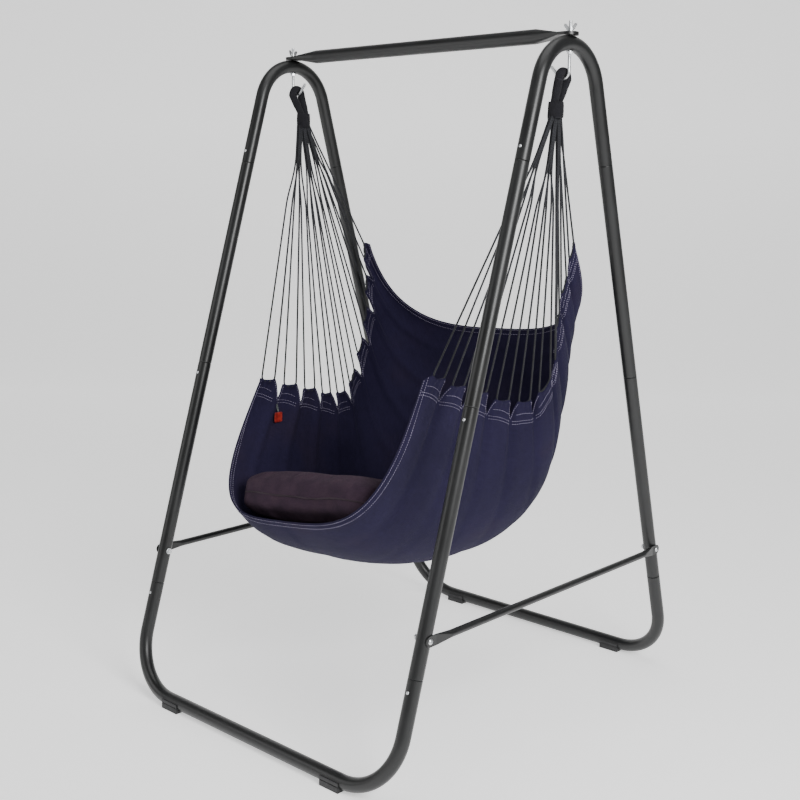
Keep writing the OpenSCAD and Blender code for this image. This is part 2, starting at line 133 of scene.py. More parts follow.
def make_studio(yaw):
    """Soft light from large panels, and a pale floor that curves up behind the stand."""
    world = bpy.data.worlds.new("studio")
    bpy.context.scene.world = world
    world.use_nodes = True
    world.node_tree.nodes["Background"].inputs["Color"].default_value = (1.0, 1.0, 1.0, 1)
    world.node_tree.nodes["Background"].inputs["Strength"].default_value = 0.20
    area_light("key", (3.6, -1.4, 2.6), (0, 0, 0.9), 1.6, 170)
    area_light("fill", (-2.2, -3.6, 2.0), (0, 0, 0.8), 2.5, 35)
    area_light("top", (0.6, -0.4, 4.4), (0, 0, 0.6), 3.0, 60)
    half_width, floor_end, bend, height = 9.0, 5.0, 2.0, 8.0
    arc = [(floor_end + bend * math.sin(a), bend - bend * math.cos(a))
           for a in np.linspace(0, math.pi / 2, 24)]
    outline = [(-9.0, 0.0), *arc, (floor_end + bend, height)]
    mesh = bmesh.new()
    rows = []
    for away, up in outline:
        ends = [mesh.verts.new((away, side * half_width, up)) for side in (-1, 1)]
        rows.append(ends)
    for low, high in zip(rows, rows[1:]):
        mesh.faces.new((low[0], high[0], high[1], low[1]))
    floor = to_object(mesh, "studio_floor")
    floor.rotation_euler = (0, 0, yaw)
    floor.location = (0, 0, -0.0005)
    look = Look("studio_paper")
    look.set(base=(0.92, 0.92, 0.92), rough=0.9)
    look.shader.inputs["Emission Color"].default_value = (1, 1, 1, 1)
    look.shader.inputs["Emission Strength"].default_value = 0.70
    floor.data.materials.append(look.material)


# ---------- materials ----------

WAVE_BANDS = 3.1831     # bands a metre that a wave texture draws at a scale of 1


class Look:
    """A material's node graph, with short calls that add and join nodes."""

    def __init__(self, name):
        self.material = bpy.data.materials.new(name)
        self.material.use_nodes = True
        self.tree = self.material.node_tree
        self.shader = self.tree.nodes["Principled BSDF"]

    def set(self, base=None, rough=None, metal=None, sheen=None, specular=None):
        values = {"Roughness": rough, "Metallic": metal}
        values.update({"Sheen Weight": sheen, "Specular IOR Level": specular})
        if base is not None:
            self.shader.inputs["Base Color"].default_value = (*base, 1)
        for socket, value in values.items():
            if value is not None:
                self.shader.inputs[socket].default_value = value

    def node(self, kind, **settings):
        made = self.tree.nodes.new("ShaderNode" + kind)
        for name, value in settings.items():
            setattr(made, name, value)
        return made

    def join(self, source, target):
        self.tree.links.new(source, target)

    def place(self, stretch=(1, 1, 1), source="Object", turn=(0, 0, 0)):
        """Coordinates, scaled and turned."""
        coordinates = self.node("TexCoord")
        mapping = self.node("Mapping")
        mapping.inputs["Scale"].default_value = stretch
        mapping.inputs["Rotation"].default_value = turn
        self.join(coordinates.outputs[source], mapping.inputs["Vector"])
        return mapping.outputs["Vector"]

    def noise(self, scale, detail=3, stretch=(1, 1, 1), source="Object"):
        texture = self.node("TexNoise")
        texture.inputs["Scale"].default_value = scale
        texture.inputs["Detail"].default_value = detail
        self.join(self.place(stretch, source), texture.inputs["Vector"])
        return texture.outputs["Fac"]

    def wave(self, scale, direction, distort=0.0, source="UV", turn=(0, 0, 0)):
        """Bands across one axis. The scale is how many fit in a metre."""
        texture = self.node("TexWave", bands_direction=direction)
        texture.inputs["Scale"].default_value = scale / WAVE_BANDS
        texture.inputs["Distortion"].default_value = distort
        texture.inputs["Detail"].default_value = 1.0
        self.join(self.place((1, 1, 1), source, turn), texture.inputs["Vector"])
        return texture.outputs["Fac"]

    def math(self, operation, a, b=0.0):
        made = self.node("Math", operation=operation)
        for socket, value in zip(made.inputs, (a, b)):
            if isinstance(value, (int, float)):
                socket.default_value = value
            else:
                self.join(value, socket)
        return made.outputs["Value"]

    def ramp(self, source, stops):
        """Colours or greys along a 0 to 1 value."""
        made = self.node("ValToRGB")
        elements = made.color_ramp.elements
        while len(elements) < len(stops):
            elements.new(0.5)
        for element, (position, colour) in zip(elements, stops):
            element.position = position
            grey = isinstance(colour, (int, float))
            element.color = (colour, colour, colour, 1) if grey else (*colour, 1)
        self.join(source, made.inputs["Fac"])
        return made.outputs["Color"]

    def mix(self, share, a, b, blend="MIX"):
        made = self.node("Mix", data_type="RGBA", blend_type=blend)
        for socket, value in ((made.inputs["Factor"], share), (made.inputs["A"], a), (made.inputs["B"], b)):
            if isinstance(value, (int, float)):
                socket.default_value = value
            elif isinstance(value, tuple):
                socket.default_value = (*value, 1)
            else:
                self.join(value, socket)
        return made.outputs["Result"]

    def bump(self, height, distance, strength=1.0, under=None):
        made = self.node("Bump")
        made.inputs["Strength"].default_value = strength
        made.inputs["Distance"].default_value = distance
        self.join(height, made.inputs["Height"])
        if under is not None:
            self.join(under, made.inputs["Normal"])
        return made.outputs["Normal"]

    def finish(self, colour=None, rough=None, normal=None):
        for socket, value in (("Base Color", colour), ("Roughness", rough), ("Normal", normal)):
            if value is not None:
                self.join(value, self.shader.inputs[socket])
        return self.material


def powder_coat():
    """Satin black powder coat: faint orange peel, cloudy gloss, and fine rubbed scratches."""
    look = Look("powder_coat")
    look.set(metal=0.0)
    cloud = look.noise(7, 4)
    peel = look.noise(1100, 2)
    scratch = look.noise(60, 6, stretch=(6, 6, 0.35))
    rubbed = look.ramp(scratch, [(0.0, 0.0), (0.66, 0.0), (0.72, 1.0)])
    base = look.ramp(cloud, [(0.3, (0.006, 0.0063, 0.0063)), (0.7, (0.011, 0.0115, 0.012))])
    colour = look.mix(look.math("MULTIPLY", rubbed, 0.22), base, (0.045, 0.047, 0.050))
    rough = look.ramp(cloud, [(0.25, 0.30), (0.75, 0.42)])
    return look.finish(colour, rough, look.bump(peel, 0.00012, 0.5))


def zinc():
    """Bright zinc plating with soft spangle, drawn marks and dull patches."""
    look = Look("zinc_plate")
    look.set(metal=1.0)
    spangle = look.noise(420, 3)
    patch = look.noise(45, 4)
    dull, bright, warm = (0.52, 0.54, 0.56), (0.66, 0.67, 0.68), (0.60, 0.58, 0.52)
    colour = look.ramp(patch, [(0.3, dull), (0.6, bright), (0.8, warm)])
    rough = look.ramp(spangle, [(0.3, 0.24), (0.7, 0.42)])
    return look.finish(colour, rough, look.bump(spangle, 0.0001, 0.4))


def pad_plastic():
    """Black moulded plastic with a fine spark-eroded grain and scuffed patches."""
    look = Look("pad_plastic")
    grain = look.noise(1500, 2)
    scuff = look.ramp(look.noise(70, 5), [(0.55, 0.0), (0.75, 1.0)])
    colour = look.mix(look.math("MULTIPLY", scuff, 0.5), (0.012, 0.012, 0.013), (0.045, 0.044, 0.043))
    rough = look.ramp(look.noise(30, 3), [(0.3, 0.5), (0.7, 0.66)])
    return look.finish(colour, rough, look.bump(grain, 0.0002, 0.6))


def plain_weave(look, threads, slub_scale):
    """Height and thread-to-thread variation of a plain weave in UV metres."""
    warp = look.wave(threads, "X")
    weft = look.wave(threads, "Y")
    over = look.math("MULTIPLY", warp, weft)
    under = look.math("MULTIPLY", look.math("SUBTRACT", 1.0, warp), look.math("SUBTRACT", 1.0, weft))
    height = look.math("ADD", over, under)
    along = look.noise(slub_scale, 2, stretch=(0.04, 1, 1), source="UV")
    across = look.noise(slub_scale, 2, stretch=(1, 0.04, 1), source="UV")
    slub = look.math("MULTIPLY", look.math("ADD", along, across), 0.5)
    return height, slub


def sling_cotton():
    """Dark navy cotton with a violet cast: plain weave, slubs, soft fading and a short nap."""
    look = Look("sling_cotton")
    look.set(sheen=0.02, specular=0.15)
    look.shader.inputs["Sheen Roughness"].default_value = 0.45
    look.shader.inputs["Sheen Tint"].default_value = (0.42, 0.40, 0.62, 1)
    height, slub = plain_weave(look, 620, 900)
    fade = look.noise(5, 5)
    dark, middle, light = (0.0120, 0.0095, 0.0310), (0.0165, 0.0130, 0.0400), (0.0230, 0.0165, 0.0370)
    base = look.ramp(fade, [(0.3, dark), (0.55, middle), (0.8, light)])
    threads = look.ramp(slub, [(0.35, 0.55), (0.65, 1.25)])
    colour = look.mix(0.75, base, threads, "MULTIPLY")
    rough = look.ramp(fade, [(0.2, 0.78), (0.8, 0.9)])
    crumple = look.bump(look.noise(38, 5), 0.004, 0.35)
    return look.finish(colour, rough, look.bump(height, 0.0006, 0.55, crumple))


def cushion_weave():
    """Brushed aubergine canvas. The weave is in space, so it runs over every side."""
    look = Look("cushion_canvas")
    look.set(sheen=0.04, specular=0.15)
    look.shader.inputs["Sheen Roughness"].default_value = 0.5
    look.shader.inputs["Sheen Tint"].default_value = (0.62, 0.48, 0.58, 1)
    tilt = (CUSHION_PITCH, CUSHION_ROLL, 0)
    bands = [look.wave(520, axis, 0.3, "Object", turn=tilt) for axis in "XYZ"]
    height = look.math("ADD", look.math("MULTIPLY", bands[0], bands[1]), bands[2])
    mottle = look.noise(26, 6)
    heather = look.noise(700, 2)
    dark, middle, light = (0.0260, 0.0150, 0.0260), (0.0360, 0.0205, 0.0340), (0.0460, 0.0270, 0.0400)
    base = look.ramp(mottle, [(0.3, dark), (0.5, middle), (0.72, light)])
    colour = look.mix(0.6, base, look.ramp(heather, [(0.35, 0.6), (0.65, 1.3)]), "MULTIPLY")
    rough = look.ramp(mottle, [(0.2, 0.8), (0.8, 0.94)])
    crumple = look.bump(look.noise(45, 5), 0.004, 0.4)
    return look.finish(colour, rough, look.bump(height, 0.0006, 0.5, crumple))


def twisted_cord(name, dark, light, twist_per_metre):
    """Three-strand cord: twist bands of painted shade in the grooves between the strands with lighter crests,
    fibres along the strands and stray fluff.
    """
    look = Look(name)
    look.set(sheen=0.03, specular=0.2)
    turn = look.node("SeparateXYZ")
    look.join(look.place((1, 1, 1), "UV"), turn.inputs["Vector"])
    along_cord = look.math("MULTIPLY", turn.outputs["X"], twist_per_metre)
    round_cord = look.math("MULTIPLY", turn.outputs["Y"], CORD_STRANDS)
    phase = look.math("MULTIPLY", look.math("ADD", along_cord, round_cord), math.pi)
    strand = look.math("ABSOLUTE", look.math("SINE", phase))
    fibre = look.noise(2600, 2)
    mottle = look.noise(60, 3)
    # Painted shade: darker in the grooves between the strands, lighter on the strand crests.
    base = look.ramp(strand, [(0.0, dark), (0.55, light)])
    colour = look.mix(0.5, base, look.ramp(mottle, [(0.3, 0.6), (0.7, 1.3)]), "MULTIPLY")
    rough = look.ramp(fibre, [(0.3, 0.72), (0.7, 0.9)])
    groove = look.bump(strand, 0.0009, 0.9)
    return look.finish(colour, rough, look.bump(fibre, 0.0002, 0.4, groove))


def thread_look(name, colour):
    """Sewing thread: fine ply and a soft shine."""
    look = Look(name)
    look.set(sheen=0.03, specular=0.2)
    ply = look.noise(3000, 2)
    tone = look.noise(18, 3)
    dark = tuple(0.62 * c for c in colour)
    shade = look.ramp(tone, [(0.35, dark), (0.65, colour)])
    return look.finish(shade, look.ramp(ply, [(0.3, 0.55), (0.7, 0.75)]), look.bump(ply, 0.0001, 0.5))


def tag_card_look():
    """Red coated card with printed mottling and paler worn edges."""
    look = Look("tag_card")
    blotch = look.noise(160, 4)
    dark, middle, worn = (0.13, 0.008, 0.006), (0.27, 0.014, 0.009), (0.38, 0.035, 0.015)
    colour = look.ramp(blotch, [(0.35, dark), (0.55, middle), (0.7, worn)])
    rough = look.ramp(blotch, [(0.3, 0.4), (0.7, 0.6)])
    return look.finish(colour, rough, look.bump(look.noise(900, 2), 0.0001, 0.4))


# ---------- shape helpers ----------

def to_object(mesh, name):
    """A smooth Blender object from a bmesh."""
    data = bpy.data.meshes.new(name)
    mesh.to_mesh(data)
    mesh.free()
    data.shade_smooth()
    made = bpy.data.objects.new(name, data)
    bpy.context.scene.collection.objects.link(made)
    return made


def from_lists(name, points, faces, uv=None):
    """A smooth mesh object from points and faces, with one UV pair for each point."""
    data = bpy.data.meshes.new(name)
    data.from_pydata([tuple(p) for p in points], [], [tuple(f) for f in faces])
    if uv is not None:
        layer = data.uv_layers.new(name="cloth")
        corner = np.zeros(len(data.loops), np.int32)
        data.loops.foreach_get("vertex_index", corner)
        layer.data.foreach_set("uv", np.asarray(uv, np.float32)[corner].ravel())
    data.shade_smooth()
    data.update()
    made = bpy.data.objects.new(name, data)
    bpy.context.scene.collection.objects.link(made)
    return made


def dress(piece, material, body, slot, *replaced):
    """Gives a piece its material and its body, and hides the CAD nodes that it stands for. The slot is not used.
    """
    piece.data.materials.clear()
    piece.data.materials.append(material)
    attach(piece, body)
    if replaced:
        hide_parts(*replaced)
    return piece


def along(points, t):
    """Catmull-Rom curve through points, for t from 0 to 1."""
    points = np.asarray(points, float)
    x = np.clip(t, 0, 1) * (len(points) - 1)
    i = np.minimum(np.floor(x).astype(int), len(points) - 2)
    s = (x - i)[..., None]
    a, b, c, d = (points[np.clip(i + k, 0, len(points) - 1)] for k in (-1, 0, 1, 2))
    return 0.5 * (2 * b + (c - a) * s + (2 * a - 5 * b + 4 * c - d) * s**2 + (3 * b - a - 3 * c + d) * s**3)


def evenly(path, step):
    """A path's points again, a fixed step apart."""
    path = np.asarray(path, float)
    gaps = np.linalg.norm(np.diff(path, axis=0), axis=1)
    run = np.concatenate([[0], np.cumsum(gaps)])
    count = max(2, int(round(run[-1] / step)) + 1)
    at = np.linspace(0, run[-1], count)
    return np.stack([np.interp(at, run, path[:, k]) for k in range(3)], 1)


def tube(path, radius, sides=10, ripple=None):
    """Points, faces and UVs of a capped tube. A ripple is (depth, length) of turns laid round it."""
    path = np.asarray(path, float)
    count = len(path)
    radius = np.broadcast_to(np.asarray(radius, float), (count,))
    forward = np.gradient(path, axis=0)
    forward /= np.linalg.norm(forward, axis=1)[:, None]
    run = np.concatenate([[0], np.cumsum(np.linalg.norm(np.diff(path, axis=0), axis=1))])
    start = np.cross(forward[0], (0.31, 0.87, 0.12))
    sideways = [start / np.linalg.norm(start)]
    for step in forward[1:]:
        flat = sideways[-1] - step * np.dot(sideways[-1], step)
        sideways.append(flat / np.linalg.norm(flat))
    sideways = np.array(sideways)
    upward = np.cross(forward, sideways)
    points, uv = [], []
    for i in range(count):
        angles = 2 * math.pi * np.arange(sides) / sides
        size = np.full(sides, radius[i])
        if ripple:
            size += ripple[0] * np.abs(np.sin(math.pi * run[i] / ripple[1] + angles / 2)) - ripple[0]
        ring = path[i] + size[:, None] * (
            np.cos(angles)[:, None] * sideways[i] + np.sin(angles)[:, None] * upward[i])
        points.extend(ring)
        uv.extend((run[i], k / sides) for k in range(sides))
    faces = []
    for i in range(count - 1):
        for k in range(sides):
            a, b = i * sides + k, i * sides + (k + 1) % sides
            faces.append((a, b, b + sides, a + sides))
    faces.append(tuple(reversed(range(sides))))
    faces.append(tuple(range((count - 1) * sides, count * sides)))
    return points, faces, uv


def joined(name, parts):
    """One object from several (points, faces, uv) lists."""
    points, faces, uv = [], [], []
    for more_points, more_faces, more_uv in parts:
        first = len(points)
        points.extend(more_points)
        faces.extend(tuple(first + v for v in face) for face in more_faces)
        uv.extend(more_uv)
    return from_lists(name, points, faces, uv)


def side_name(side):
    return "left" if side < 0 else "right"


def smooth_step(x):
    """0 to 1, easing in and out."""
    x = np.clip(x, 0, 1)
    return x * x * (3 - 2 * x)


# ---------- the sling ----------

ROWS = 16 * FINGERS + 1
COLUMNS = 129
FOLD_REACH = 0.20       # how far the folds run down from the fingers
FOLD_DEPTH = 0.0190
FOLD_WIDTH = 0.14       # of the valley under a notch, as a share of the pitch
FOLD_BALANCE = 0.38     # how far the cloth between two valleys swells out, as a share of their depth
GATHER_REACH = 0.05
GATHER_DEPTH = 0.0026
FINGER_SEAMS = ((0.040, 0.33), (0.060, 0.42), (0.068, 0.42))    # distance below the top, half length in pitches
SEAM_BOW = 0.005
NOTCH_SEAM_INSET = 0.007


def cloth_strip(t, side):
    """Fine points of half a cross-section, from the middle of the cloth to its end."""
    u = np.sin(np.linspace(0, math.pi / 2, 600))
    power = 2 / (FULLNESS[1] + (FULLNESS[0] - FULLNESS[1]) * max(0, 1 - 2.5 * t))
    out = np.sin(u * math.pi / 2) ** power
    rise = 1 - np.maximum(0, np.cos(u * math.pi / 2)) ** power
    middle = along(MIDDLE_PROFILE, np.array([t]))[0]
    end = along(END_PROFILE, np.array([t]))[0]
    x = side * end[0] * out
    slope = SIDE_SLOPE[0] + (SIDE_SLOPE[1] - SIDE_SLOPE[0]) * t
    y = middle[0] + (end[1] - middle[0]) * rise
    z = middle[1] + (end[2] - middle[1]) * rise + slope * x
    return np.stack([x, y, z], 1)


def finger_shape(t):
    """1 on a finger's top, falling to 0 in the notches. The two outer edges are straight."""
    phase = t * FINGERS
    edge_to_edge = np.abs(phase - np.floor(phase) - 0.5)
    fall = smooth_step((edge_to_edge - CORD_SPREAD - 0.03) / (0.5 - CORD_SPREAD - 0.03)) ** 0.8
    outer = (phase < 0.5) | (phase > FINGERS - 0.5)
    dip = 0.07 * (1 - np.clip(edge_to_edge / CORD_SPREAD, 0, 1) ** 2)
    return np.where(outer & (edge_to_edge > CORD_SPREAD), 1 - 0.45 * fall, 1 - fall - dip)


def levelling(t, height, side):
    """How much a finger's higher corner is trimmed, so that its top lies square to its cords."""
    finger = min(int(t * FINGERS), FINGERS - 1)
    corners = [cloth_strip((finger + 0.5 + k * CORD_SPREAD) / FINGERS, side)[-1][2] for k in (-1, 1)]
    return LEVEL_SHARE * min(LEVEL_LIMIT, max(0, height - min(corners)))


class Cloth:
    """The hanging cloth as a grid: rows from the lip to the top of the back, columns left to right."""

    def __init__(self):
        self.t = np.linspace(0, 1, ROWS)
        q = np.linspace(-1, 1, COLUMNS)
        share = np.sign(q) * (1 - (1 - np.abs(q)) ** 1.5)
        grid = np.zeros((ROWS, COLUMNS, 3))
        self.to_end = np.zeros((ROWS, COLUMNS))      # distance to the cut edge
        self.from_top = np.zeros((ROWS, COLUMNS))    # distance to the line through the finger tops
        self.across = np.zeros((ROWS, COLUMNS))      # distance from the middle, signed
        shape = finger_shape(self.t)
        for i, t in enumerate(self.t):
            for side in (-1, 1):
                strip = cloth_strip(t, side)
                run = np.concatenate([[0], np.cumsum(np.linalg.norm(np.diff(strip, axis=0), axis=1))])
                cut = FINGER_DEPTH * (1 - shape[i]) + levelling(t, strip[-1][2], side)
                half = q >= 0 if side > 0 else q <= 0
                part = np.abs(share[half])
                last = run[-1] - cut
                reach = part * run[-1] - cut * smooth_step((part - 0.55) / 0.45)
                for k in range(3):
                    grid[i, half, k] = np.interp(reach, run, strip[:, k])
                self.to_end[i, half] = last - reach
                self.from_top[i, half] = run[-1] - reach
                self.across[i, half] = side * reach
        self.points = self.folded(grid)
        self.normals = self.normals_of(self.points)
        steps = np.linalg.norm(np.diff(self.points, axis=0), axis=2)
        self.from_front = np.concatenate([np.zeros((1, COLUMNS)), np.cumsum(steps, axis=0)])
        self.from_back = self.from_front[-1] - self.from_front
        self.thickness = self.thickness_map()

    @staticmethod
    def normals_of(grid):
        """Unit normals that point into the seat."""
        normals = np.cross(np.gradient(grid, axis=1), np.gradient(grid, axis=0))
        return normals / np.maximum(1e-12, np.linalg.norm(normals, axis=2))[..., None]

    def folded(self, grid):
        """The smooth shape with the folds that run down from the notches and across the back."""
        phase = (self.t * FINGERS)[:, None]
        near = np.exp(-self.from_top / FOLD_REACH)
        close = np.exp(-self.from_top / GATHER_REACH)
        valley = np.exp(-((phase - np.round(phase)) / FOLD_WIDTH) ** 2)
        ridge = FOLD_DEPTH * near * (FOLD_BALANCE - valley)
        gather = GATHER_DEPTH * close * np.cos(2 * math.pi * 5 * phase)
        calm = smooth_step(self.to_end / 0.03)
        drape = np.zeros(grid.shape[:2])
        for i, t in enumerate(self.t):
            for j in range(grid.shape[1]):
                a = self.across[i, j]
                seed = 3.1 if a < 0 else 8.7
                broad = noise.noise(Vector((t * 7.0, a * 1.5, seed)))
                narrow = noise.noise(Vector((t * 22.0, a * 2.6, seed + 4)))
                drape[i, j] = 0.012 * broad + 0.0042 * narrow
        lively = 0.35 + 0.65 * smooth_step((self.t[:, None] - 0.35) / 0.3)
        outward = ridge + gather + drape * calm * lively
        return grid - self.normals_of(grid) * outward[..., None]

    def thickness_map(self):
        """Single cloth, doubled at the hems, with a cord channel along each finger's top."""
        hem = smooth_step((HEM_WIDTH - np.minimum(self.from_front, self.from_back)) / 0.003)
        edge = smooth_step((0.010 - self.to_end) / 0.003)
        phase = (self.t * FINGERS) % 1.0
        top = smooth_step((CORD_SPREAD + 0.06 - np.abs(phase - 0.5)) / 0.06)[:, None]
        channel = top * np.exp(-((self.to_end - 0.005) / 0.005) ** 2)
        return CLOTH * (1 + 0.7 * np.maximum(hem, edge)) + 0.0045 * channel

    def at(self, row, column, lift):
        """A point on or over the cloth at fractional row and column. Positive lift goes into the seat."""
        i, j = min(int(row), ROWS - 2), min(int(column), COLUMNS - 2)
        a, b = row - i, column - j

        def blend(grid):
            low = grid[i, j] * (1 - b) + grid[i, j + 1] * b
            high = grid[i + 1, j] * (1 - b) + grid[i + 1, j + 1] * b
            return low * (1 - a) + high * a

        normal = blend(self.normals)
        offset = lift + math.copysign(blend(self.thickness) / 2, lift)
        return blend(self.points) + normal * offset, normal

    def column_at(self, row, side, distance, measure):
        """The column where a measure, taken from one end of the cloth, reaches a distance."""
        columns = np.arange(COLUMNS)
        half = columns >= COLUMNS // 2 if side > 0 else columns <= COLUMNS // 2
        picked = columns[half][::-1] if side > 0 else columns[half]
        low = min(int(row), ROWS - 2)
        values = measure[low, picked] * (1 - row + low) + measure[low + 1, picked] * (row - low)
        return float(np.interp(distance, values, picked))

    def build(self):
        inner = self.points + self.normals * self.thickness[..., None] / 2
        outer = self.points - self.normals * self.thickness[..., None] / 2
        points = np.concatenate([outer.reshape(-1, 3), inner.reshape(-1, 3)])
        uv = np.stack([self.across, self.from_front], 2).reshape(-1, 2)
        size = ROWS * COLUMNS
        faces = []
        for i in range(ROWS - 1):
            for j in range(COLUMNS - 1):
                a = i * COLUMNS + j
                b = a + COLUMNS
                faces.append((a, b, b + 1, a + 1))
                faces.append((size + a, size + a + 1, size + b + 1, size + b))
        border = [*range(COLUMNS - 1), *(i * COLUMNS + COLUMNS - 1 for i in range(ROWS - 1))]
        border += [(ROWS - 1) * COLUMNS + j for j in range(COLUMNS - 1, 0, -1)]
        border += [i * COLUMNS for i in range(ROWS - 1, 0, -1)]
        for a, b in zip(border, border[1:] + border[:1]):
            faces.append((a, b, size + b, size + a))
        return from_lists("sling_cloth", points, faces, np.concatenate([uv, uv]))

    def tree(self):
        """Search tree of the middle surface, whose faces look into the seat."""
        points = [Vector(p) for p in self.points.reshape(-1, 3)]
        faces = []
        for i in range(ROWS - 1):
            for j in range(COLUMNS - 1):
                a = i * COLUMNS + j
                faces.append((a, a + 1, a + COLUMNS + 1, a + COLUMNS))
        return BVHTree.FromPolygons(points, faces)


def stitch(start, end, normal, width):
    """One raised stitch: a short capsule that dips into the cloth at both ends."""
    start, end = np.asarray(start), np.asarray(end)
    steps = np.array([0.0, 0.12, 0.5, 0.88, 1.0])
    high = np.array([-0.5, 0.1, 0.35, 0.1, -0.5]) * width
    size = np.array([0.3, 0.85, 1.0, 0.85, 0.3]) * width / 2
    path = start + (end - start) * steps[:, None] + np.asarray(normal) * high[:, None]
    return tube(path, size, 5)


def stitch_line(cloth, places, width=0.0011, length=0.0042, gap=0.0022):
    """Stitches on both faces of the cloth along fractional (row, column) places."""
    parts = []
    for lift in (-0.0001, 0.0001):
        found = [cloth.at(row, column, lift) for row, column in places]
        points = np.array([p for p, _ in found])
        normals = np.array([n for _, n in found]) * math.copysign(1, lift)
        run = np.concatenate([[0], np.cumsum(np.linalg.norm(np.diff(points, axis=0), axis=1))])
        begin = 0.0
        while begin + length < run[-1]:
            ends = [np.array([np.interp(s, run, points[:, k]) for k in range(3)])
                    for s in (begin, begin + length)]
            middle = [np.interp(begin + length / 2, run, normals[:, k]) for k in range(3)]
            parts.append(stitch(ends[0], ends[1], middle, width))
            begin += length + gap
    return parts


def sling_stitches(cloth):
    """Hem lines along the lip and the back, and the lines that hold each finger."""
    parts = []
    columns = np.linspace(1, COLUMNS - 2, 3 * COLUMNS)
    for measure in (cloth.from_front, cloth.from_back):
        for distance in (0.004, HEM_WIDTH - 0.004):
            places = []
            for column in columns:
                j = int(column)
                order = slice(None) if measure is cloth.from_front else slice(None, None, -1)
                rows = np.arange(ROWS)[order]
                places.append((float(np.interp(distance, measure[order, j], rows)), column))
            parts += stitch_line(cloth, places)
    per_finger = (ROWS - 1) / FINGERS
    for side in (-1, 1):
        for finger in range(FINGERS):
            middle = (finger + 0.5) * per_finger
            for distance, reach in FINGER_SEAMS:
                rows = np.linspace(middle - reach * per_finger, middle + reach * per_finger, 24)
                rows = rows[(rows > 0.2) & (rows < ROWS - 1.2)]
                bow = SEAM_BOW * np.cos((rows - middle) / (reach * per_finger) * math.pi / 2)
                places = [(r, cloth.column_at(r, side, distance - b, cloth.from_top))
                          for r, b in zip(rows, bow)]
                parts += stitch_line(cloth, places)
            if finger:
                notch = finger * per_finger
                rows = np.linspace(notch - 0.24 * per_finger, notch + 0.24 * per_finger, 24)
                places = [(r, cloth.column_at(r, side, NOTCH_SEAM_INSET, cloth.to_end)) for r in rows]
                parts += stitch_line(cloth, places)
    return joined("sling_stitching", parts)


# ---------- cords, whippings and eyes ----------

def target_of(cloth, side, group):
    """Where a group of neighbouring fingers lies on average."""
    per_finger = (ROWS - 1) // FINGERS
    edge = COLUMNS - 1 if side > 0 else 0
    rows = range(CORD_GROUP * group * per_finger, min(ROWS, CORD_GROUP * (group + 1) * per_finger))
    return np.mean([cloth.points[row, edge] for row in rows], axis=0)


def finger_cord(cloth, side, finger):
    """Path of one cord: down from the whipping, through the finger's top hem and back up."""
    pitch = 2 * NECK_R / (2 * FINGERS - 1)
    per_finger = (ROWS - 1) / FINGERS
    corners, tops = [], []
    for twin in (0, 1):
        row = (finger + 0.5 + (twin - 0.5) * 2 * CORD_SPREAD) * per_finger
        edge = COLUMNS - 1 if side > 0 else 0
        low = int(row)
        corner = cloth.points[low, edge] * (1 - row + low) + cloth.points[low + 1, edge] * (row - low)
        index = 2 * finger + twin
        top = np.array([
            side * (NECK.x + (CORD_ROW if twin == 0 else -CORD_ROW)),
            NECK.y + (index - FINGERS + 0.5) * pitch,
            NECK.z - NECK_H / 2 + 0.004,
        ])
        corners.append(corner)
        tops.append(top)
    group = target_of(cloth, side, finger // CORD_GROUP)
    legs = []
    for top, corner in zip(tops, corners):
        shares = np.linspace(0, 0.985, 40)[:, None]
        apart = smooth_step((shares - GATHERED_UNTIL) / OPENING)
        bundled = top + (group + (corner - group) * 0.12 - top) * shares
        legs.append(bundled * (1 - apart) + (top + (corner - top) * shares) * apart)
    across = corners[1] - corners[0]
    up = (tops[0] + tops[1]) / 2 - (corners[0] + corners[1]) / 2
    up /= np.linalg.norm(up)
    bottom = [corners[0] + across * s + up * (-0.003 - 0.0055 * math.sin(math.pi * s))
              for s in np.linspace(0.02, 0.98, 11)]
    whole = evenly(np.concatenate([legs[0], bottom, legs[1][::-1]]), 0.004)
    smoothed = whole.copy()
    for _ in range(3):
        smoothed[1:-1] = (smoothed[:-2] + 2 * smoothed[1:-1] + smoothed[2:]) / 4
    return evenly(smoothed, 0.008)


def cords(cloth, side):
    parts = [tube(finger_cord(cloth, side, k), CORD_D / 2, 8) for k in range(FINGERS)]
    return joined(side_name(side) + "_suspension_cords", parts)


def eye_path(side):
    """Up one leg of the eye, over the hook and down the other."""
    bight = PIVOT_Z + ROD_R + EYE_GAP + EYE_CORD_D / 2 - EYE_R
    foot = np.array([side * NECK.x, NECK.y, NECK.z + NECK_H / 2 - 0.004])
    arc = [np.array([side * HOOK_X, EYE_R * math.cos(a), bight + EYE_R * math.sin(a)])
           for a in np.linspace(0, math.pi, 28)]
    legs = []
    for leg in (1, -1):
        shoulder = np.array([side * HOOK_X, leg * EYE_R, bight])
        base = foot + np.array([0, leg * 0.008, 0])
        legs.append([base + (shoulder - base) * s for s in np.linspace(0, 0.95, 12)])
    return evenly(np.array(legs[0] + arc + legs[1][::-1]), 0.0006)


def eye(side):
    """Cord bundle served with fine cord laid in close turns."""
    path = eye_path(side)
    count = len(path)
    share = np.linspace(0, 1, count)
    swell = 1 + 0.03 * np.sin(share * 19) + 0.02 * np.sin(share * 47 + 1)
    waist = 0.90 + 0.10 * smooth_step(np.minimum(share, 1 - share) / 0.2)
    radius = (EYE_CORD_D / 2 - 0.0004) * np.minimum(1.0, swell * waist)
    return joined(side_name(side) + "_served_eye", [tube(path, radius, 20, (0.0011, 0.0030))])


